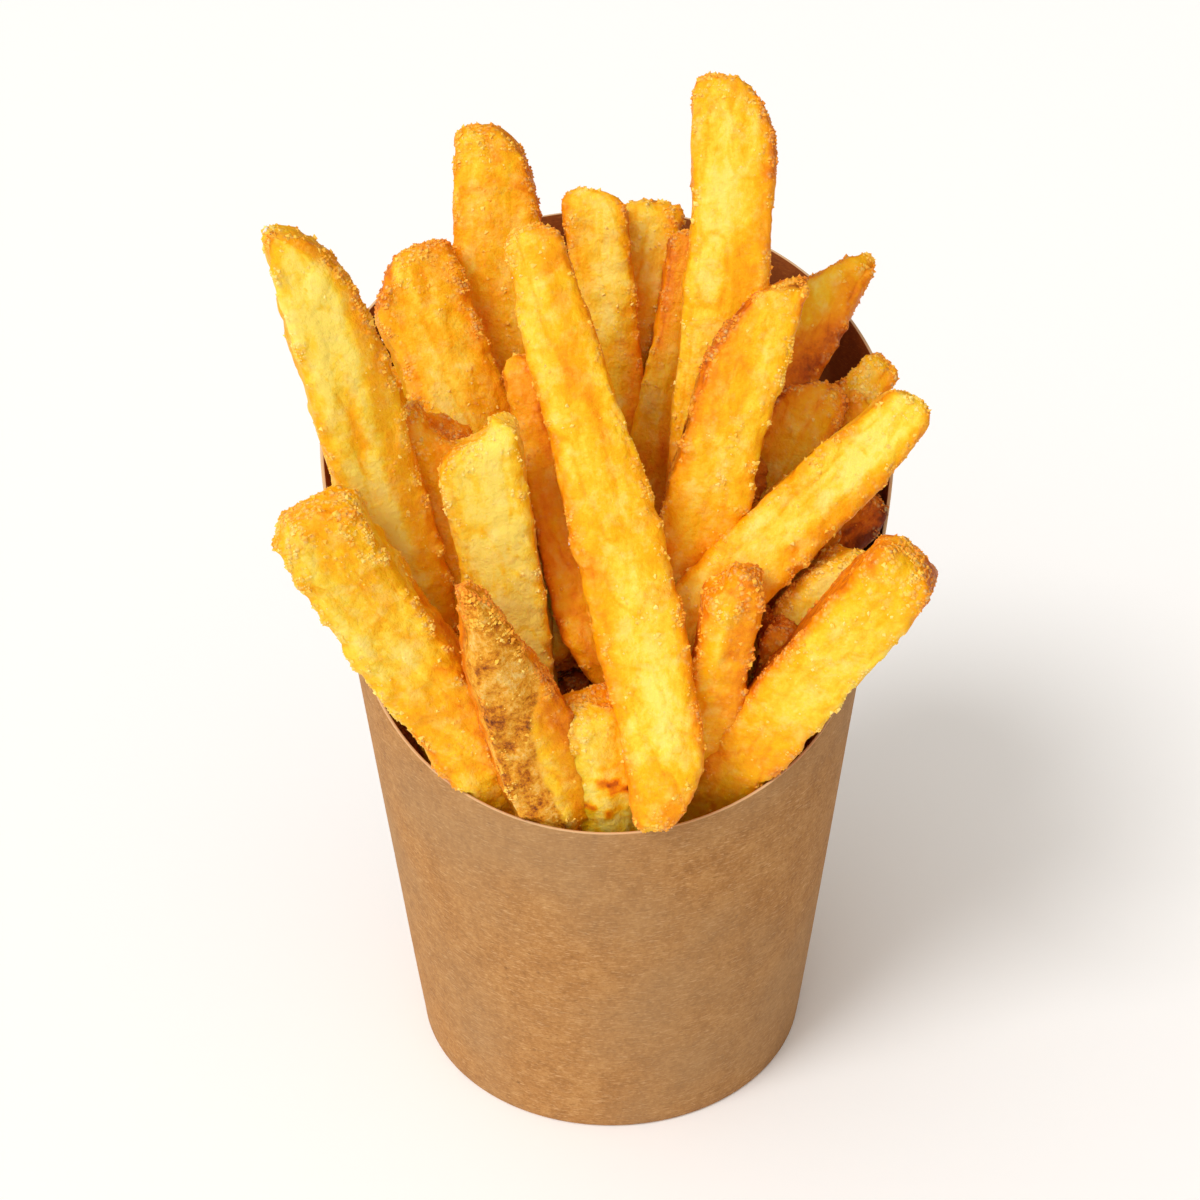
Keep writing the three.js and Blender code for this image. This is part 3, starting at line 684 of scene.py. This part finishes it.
right_fries = [
    dict(foot=(-2.6, -22, 33.6), tip=(39.7, -30, 102.1), wide=10.8, deep=9, cut=7, blunt=0.7, slim=0.9,
         gold=0.42, browned=0.02, roof_at=-0.5, roof_gold=-0.12, pitted=1.3, ragged=0.7),
    dict(foot=(13, -16, 52), tip=(34.3, -17, 95.5), wide=12, deep=9, cut=-14, blunt=0.4, gold=0.12,
         browned=0.04, pitted=1.3),
    dict(foot=(5.5, -20, 71), tip=(21.8, -3, 130.5), wide=11.3, deep=8, cut=-18, blunt=0.12,
         gold=0.42, roof_at=-0.3, roof_gold=-0.1, browned=0.22, pitted=1.3, skin=(-0.93, 0.2, 2)),
    dict(foot=(5.5, -23, 81), tip=(42.5, -6, 113), wide=10.5, deep=8, blunt=0.7, slim=0.68, gold=0.16,
         roof=1.0, roof_at=0.45, roof_gold=0.28),
    # the one under the long right fry: its dark gold is painted shade
    dict(foot=(12, -12, 70), tip=(38, -3, 97.5), wide=9, deep=8, gold=0.75),
    dict(foot=(8, -9, 69), tip=(30.7, 6, 110.5), wide=11, deep=8, cut=-9, blunt=0.45, gold=0.36,
         browned=0.16, pitted=1.5, roof_gold=0.04),
    dict(foot=(20, -2, 82), tip=(37.4, 7.6, 108.6), wide=6.8, deep=6.5, gold=0.34, pitted=2.2,
         ragged=2.2),
    dict(foot=(34, 6, 105), tip=(41, 8.8, 112), wide=5.4, deep=5.2, gold=0.2, pitted=2.4, ragged=2.4),
    dict(foot=(6, -12, 75), tip=(34.8, 18, 125.8), wide=9.5, deep=8, cut=-10, blunt=0.2, ease=1.2,
         gold=0.42, browned=0.08, pitted=1.3, ragged=1.8),
]
left_fries = [
    dict(foot=(-11.5, -20, 58), tip=(-17, -18, 115), wide=11, deep=8, cut=-4, slim=0.95, gold=-0.06,
         side_gold_and_shade=0.16, slant=1.6, roof_gold=0.03, ragged=1.3),
    dict(foot=(-16.5, -16, 60), tip=(-23, -13.5, 114.8), wide=8.5, deep=8, cut=4, slant=-2,
         gold=0.12, side_gold_and_shade=0.1, browned=0.25, pitted=1.8, ragged=1.6),
    dict(foot=(1.6, -22, 72), tip=(-10, 0, 118), wide=9, deep=8, bow=-1.5, heel=-14, heel_blunt=0.1,
         gold=0.46, browned=0.08),
    dict(foot=(-7, -14, 76), tip=(-28.8, 14, 127.5), wide=12.6, deep=9, roll=10, cut=-8, blunt=0.5,
         ease=1.3, gold=0.14, roof=1.1, roof_at=0.1, roof_gold=0.14, browned=0.32, pitted=1.5),
    dict(foot=(-17, -1, 60), tip=(-15.5, 26, 142), wide=12, deep=9, cut=14, blunt=0.4, gold=0.28,
         roof_at=-0.3, roof_gold=0.05, browned=0.1),
]
back_fries = [
    dict(foot=(5, -4, 56), tip=(-1.5, 24, 133), wide=9.3, deep=8, cut=5, blunt=0.5, gold=0.22,
         roof=1.0, roof_at=0.3, roof_gold=0.16),
    dict(foot=(-4, 8, 84), tip=(7.7, 30, 129), wide=9, deep=8, cut=-3, blunt=0.6, gold=0.08,
         browned=0.2, pitted=1.7),
    dict(foot=(0, -8, 66), tip=(14, 22, 127), wide=8, deep=8, gold=0.4),
    dict(foot=(8, -15, 55), tip=(17.5, 6, 154), wide=11.5, deep=9, bow=2, cut=14, blunt=0.45,
         gold=0.18, roof_at=0.1, roof_gold=0.05, browned=0.36),
]
packed_fries = [
    dict(foot=(-8, 6, 62), tip=(-7.5, 19, 115), wide=7, deep=8),
    dict(foot=(-18, 6, 60), tip=(-31, 18, 108), wide=9, deep=8, roll=30),
    dict(foot=(-12, 14, 60), tip=(-22, 31, 112), wide=9, deep=8, cut=-4),
    dict(foot=(-6, 18, 60), tip=(-6, 35, 116), wide=10, deep=8, cut=4),
    dict(foot=(8, 16, 60), tip=(20, 30, 114), wide=9, deep=8, roll=-20, cut=4),
    dict(foot=(16, 8, 60), tip=(30, 17, 106), wide=9, deep=8, roll=-40, cut=-4),
    dict(foot=(20, -6, 50), tip=(31, -4, 96), wide=9, deep=8, roll=-20),
    dict(foot=(2, 24, 60), tip=(3, 36, 119), wide=9, deep=8, cut=4),
    dict(foot=(-14, 20, 60), tip=(-15, 34, 117), wide=9, deep=8, roll=15, cut=-4),
    dict(foot=(13, 20, 60), tip=(14, 34, 116), wide=8, deep=8, roll=-15, cut=4),
    dict(foot=(22, 10, 60), tip=(32, 16, 104), wide=9, deep=8, roll=-50, cut=4),
    # its dark gold is painted shade, darkening the gap between the left fries
    dict(foot=(-24, 4, 56), tip=(-33, 10, 97), wide=9, deep=8, roll=50, cut=-4, gold=0.85),
    dict(foot=(-22, -8, 50), tip=(-34, -4, 98), wide=9, deep=8, roll=20),
]
heaps = {
    "fries_front": (front_fries, PITCH, 1),
    "fries_right": (right_fries, PITCH, 21),
    "fries_left": (left_fries, PITCH, 41),
    "fries_back": (back_fries, PITCH, 61),
    "fries_packed": (packed_fries, 0.75, 81),
}
laid = [fry for heap in heaps.values() for fry in heap[0]]
sticks = [(fry["foot"], fry["tip"], fry["wide"], fry["deep"]) for fry in laid]
for name, (fries, pitch, seed) in heaps.items():
    points, faces, values = join_fries(fries, pitch, seed)
    heap = lay_mesh(name, points, faces, potato, values)
    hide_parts("fries")

# ---------------------------------------------------------------------------------------------
# Core of the heap. The fries that nobody sees, packed to just under the visible ones: one lumpy
# solid that keeps clear of the board, with the ridges of broken fries in its top.

CORE_FRONT = 48.0  # height of its top at the low lip
CORE_BACK = 80.0  # and at the tall back
CORE_CLEAR = 2.0  # how near it comes to the board


def core_points():
    """Rings from the middle of the top out to the wall, down it and in to the middle of the base.
    The top is a plane that slopes up to the back with ridges drawn out along slanting lines."""
    turn = np.radians(np.arange(0, 360, 2.5))[:, None]
    out = np.linspace(0.02, 1, 34)[None, :]
    foot = FLOOR_TOP + 2 * GAP
    reach = cone_radius((CORE_FRONT + CORE_BACK) / 2) - BOARD - CORE_CLEAR
    x, y = out * reach * np.sin(turn), -out * reach * np.cos(turn)
    place = np.stack([x, y, 0 * x], -1)
    ridges = 1 - np.abs(grain(place @ Matrix.Rotation(0.5, 3, "Z") * (1, 0.3, 1), 7, 31))
    top = CORE_FRONT + (CORE_BACK - CORE_FRONT) * (1 + y / reach) / 2
    top = top + 4 * ridges**2 + 0.9 * grain(place, 2.4, 32) + 0.4 * grain(place, 1.0, 33) - 3
    down = np.linspace(1, 0, 12)[None, 1:]
    side_z = foot + (top[:, -1:] - foot) * down
    side_r = cone_radius(side_z) - BOARD - CORE_CLEAR
    base_r = side_r[:, -1:] * out[:, ::-1][:, 1:]
    r = np.concatenate([out * reach + 0 * turn, side_r, base_r], 1)
    z = np.concatenate([top, side_z, foot + 0 * base_r], 1)
    return np.stack([r * np.sin(turn), -r * np.cos(turn), z], -1)


lump = core_points()
faces = turned_faces(lump)
flat = lump.reshape(-1, 3)
# its dark orange-brown gold is painted shade, standing for the deep gaps between the fries
values = {
    "golden": 0.66 + 0.2 * grain(flat, 5, 34),
    "granular": 0.3 + 0.3 * grain(flat, 1.5, 35),
    "skin": 0 * flat[:, 0],
    "lie": flat,
}
core = lay_mesh("fries_core", flat, faces, potato, values)
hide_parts("fries")

# ---------------------------------------------------------------------------------------------
# Crumbs. Grains of crisp batter, 0.3 to 0.9 mm, that stand on the fries' edges and blistered
# patches and hold on there. Each is a rough eight-sided lump partly sunk in the crust.

SEEN_BELOW_RIM = 14  # loose grains lie down to so far below the rim


def lumps(corners, triples, places, normals, sizes, sunk, draw):
    """The same small solid at every place, each corner moved in or out at random, turned at random
    and sunk by a share of its size. Returns points and triangles."""
    count, number = len(places), len(corners)
    turned = np.linalg.qr(draw.normal(size=(count, 3, 3)))[0]
    turned *= np.sign(np.linalg.det(turned))[:, None, None]
    shapes = corners[None] * draw.uniform(0.5, 1.4, (count, number, 1)) @ turned
    middles = places + normals * (sizes * (0.5 - sunk))[:, None]
    points = middles[:, None] + shapes * (sizes / 2)[:, None, None]
    faces = triples[None] + number * np.arange(count)[:, None, None]
    return points.reshape(-1, 3), faces.reshape(-1, 3)


def surface_of(piece):
    """Places, outward normals and values of a piece's points, in millimetres."""
    mesh = piece.data
    count = len(mesh.vertices)
    read = {"co": np.zeros(count * 3, np.float32), "normal": np.zeros(count * 3, np.float32)}
    for key, field in read.items():
        mesh.vertices.foreach_get(key, field)
    for key in ("golden", "granular"):
        read[key] = np.zeros(count, np.float32)
        mesh.attributes[key].data.foreach_get("value", read[key])
    places, normals = read["co"].reshape(-1, 3) / MM, read["normal"].reshape(-1, 3)
    return places, normals, read["golden"], read["granular"]


def crisp_batter():
    """Batter fried right through: dry and opaque, cream to golden grain by grain."""
    made = bpy.data.materials.new("crisp_batter_grains")
    made.use_nodes = True
    tree = made.node_tree
    tree.nodes.clear()
    golden = add_node(tree, "Attribute", attribute_name="golden").outputs["Fac"]
    tint = add_node(
        tree,
        "ValToRGB",
        {"Fac": golden},
        stops=[
            (0.0, linear("#fee07c")),
            (0.25, linear("#fdcb48")),
            (0.5, linear("#faaa28")),
            (0.75, linear("#ea8a1e")),
            (1.0, linear("#b0601a")),
        ],
    )
    shader = add_node(tree, "BsdfPrincipled", {"Base Color": tint.outputs[0]})
    shader.inputs["Roughness"].default_value = 0.6
    shader.inputs["IOR"].default_value = 1.45
    add_node(tree, "OutputMaterial", {"Surface": shader.outputs[0]})
    return made


draw = np.random.default_rng(5)
seen = [surface_of(bpy.data.objects[name]) for name in heaps if name != "fries_packed"]
places, normals, golden, granular = (np.concatenate(part) for part in zip(*seen))
turn = np.degrees(np.arctan2(places[:, 0], -places[:, 1]))
clear = places[:, 2] > rim_height(turn) - SEEN_BELOW_RIM

octahedron = np.array([[1, 0, 0], [0, 1, 0], [-1, 0, 0], [0, -1, 0], [0, 0, 1], [0, 0, -1]], float)
upper = [[i, (i + 1) % 4, 4] for i in range(4)]
lower = [[(i + 1) % 4, i, 5] for i in range(4)]
octahedron_faces = np.array(upper + lower)
crumb_count = 24000
chance = (granular**1.7 + 0.002) * clear
picked = draw.choice(len(places), crumb_count, replace=False, p=chance / chance.sum())
sizes = 0.32 + 0.6 * draw.random(crumb_count) ** 3.5
points, faces = lumps(octahedron, octahedron_faces, places[picked], normals[picked], sizes, 0.4, draw)
stage = golden[picked] + draw.uniform(-0.25, 0.1, crumb_count)
values = {"golden": np.repeat(stage, len(octahedron))}
crumbs = lay_mesh("batter_crumbs", points, faces, crisp_batter(), values, smooth=False)

# ---------------------------------------------------------------------------------------------
# Salt. Coarse grains, 0.45 to 1 mm, shaken over the top: broken cubes, milky and slightly clear,
# that lie where they fell on what faces up and on the outermost edges.


def salt_crystal():
    """Table salt: a clear crystal made milky by its own broken faces."""
    made = bpy.data.materials.new("salt_crystal")
    made.use_nodes = True
    tree = made.node_tree
    tree.nodes.clear()
    place = add_node(tree, "TexCoord").outputs["Object"]
    cloud = add_node(tree, "TexNoise", {"Vector": place, "Scale": per_metre(0.4167), "Detail": 2.0})
    tint = add_node(
        tree,
        "ValToRGB",
        {"Fac": cloud.outputs[0]},
        stops=[(0.0, linear("#f3dcc0")), (1.0, linear("#fffaf2"))],
    )
    shader = add_node(tree, "BsdfPrincipled", {"Base Color": tint.outputs[0]})
    shader.inputs["Roughness"].default_value = 0.3
    shader.inputs["IOR"].default_value = 1.54
    shader.inputs["Subsurface Weight"].default_value = 0.5
    shader.inputs["Subsurface Radius"].default_value = (1.0, 0.9, 0.7)
    shader.inputs["Subsurface Scale"].default_value = 0.0006
    add_node(tree, "OutputMaterial", {"Surface": shader.outputs[0]})
    return made


half_edge = 0.62  # of a grain whose size is 2 across
cube = np.array([[x, y, z] for x in (-1, 1) for y in (-1, 1) for z in (-1, 1)]) * half_edge
cube_faces = np.array(
    [[0, 1, 3], [0, 3, 2], [4, 6, 7], [4, 7, 5], [0, 4, 5], [0, 5, 1]]
    + [[2, 3, 7], [2, 7, 6], [0, 2, 6], [0, 6, 4], [1, 5, 7], [1, 7, 3]]
)
salt_count = 300
chance = rise(normals[:, 2], -0.1, 0.6) * clear * (0.2 + granular) * (normals[:, 1] < 0.3)
picked = draw.choice(len(places), salt_count, replace=False, p=chance / chance.sum())
sizes = 0.45 + 0.6 * draw.random(salt_count) ** 2
points, faces = lumps(cube, cube_faces, places[picked], normals[picked], sizes, 0.2, draw)
salt = lay_mesh("salt_grains", points, faces, salt_crystal(), smooth=False)

# ---------------------------------------------------------------------------------------------
# Floor, light and camera. A plain white table under a soft sky that is brighter and cooler on the
# left, with a broad key light high on the left and a weak one lower down.

floor_side = 3.0  # metres
bpy.ops.mesh.primitive_plane_add(size=floor_side)
table = bpy.context.object
table.name = "table"
white = bpy.data.materials.new("white_table")
white.use_nodes = True
white.node_tree.nodes["Principled BSDF"].inputs["Base Color"].default_value = linear("#ffffff")
white.node_tree.nodes["Principled BSDF"].inputs["Roughness"].default_value = 0.8
table.data.materials.append(white)

world = bpy.data.worlds.new("studio")
bpy.context.scene.world = world
world.use_nodes = True
sky = world.node_tree
sky.nodes.clear()
toward_sky = add_node(sky, "TexCoord").outputs["Generated"]
brightest = (-0.45, -0.45, 0.76)
facing = add_node(sky, "VectorMath", {0: toward_sky, 1: brightest}, operation="DOT_PRODUCT")
glow = {"Value": facing.outputs["Value"], "From Min": -0.4, "To Min": 0.1}
glow = add_node(sky, "MapRange", glow).outputs[0]
warm_to_white = {0: glow, 6: (1, 0.8, 0.56, 1), 7: (1, 1, 1, 1)}
tone = add_node(sky, "Mix", warm_to_white, data_type="RGBA")
dome = add_node(sky, "Background", {"Color": tone.outputs[2], "Strength": glow})
add_node(sky, "OutputWorld", {"Surface": dome.outputs[0]})

for name, toward, strength, spread in (
    ("key", (-0.55, -0.48, 0.9), 1.3, 22),
    ("fill", (-0.65, -0.75, 0.45), 0.42, 50),
):
    lamp = bpy.data.lights.new(name, "SUN")
    lamp.energy = strength
    lamp.angle = np.radians(spread)
    lamp_object = bpy.data.objects.new(name, lamp)
    bpy.context.scene.collection.objects.link(lamp_object)
    back = np.array(toward) / np.linalg.norm(toward)
    side = np.cross((0, 0, 1), back)
    side /= np.linalg.norm(side)
    lamp_object.matrix_world = Matrix(np.stack([side, np.cross(back, side), back], 1).tolist()).to_4x4()

camera_data = bpy.data.cameras.new("camera")
camera_data.sensor_width = 36
camera_data.lens = 54
camera_data.clip_start = 0.01
camera = bpy.data.objects.new("camera", camera_data)
bpy.context.scene.collection.objects.link(camera)
elevation = np.radians(31.6)
lean = np.radians(-0.65)
distance = 0.27
aim = (-0.0012, 0.0, 0.0777)
away = (0, -distance * np.cos(elevation), distance * np.sin(elevation))
tilt = Matrix.Rotation(np.pi / 2 - elevation, 4, "X") @ Matrix.Rotation(lean, 4, "Z")
camera.matrix_world = Matrix.Translation(np.add(aim, away).tolist()) @ tilt
bpy.context.scene.camera = camera
bpy.context.scene.view_settings.view_transform = "Standard"
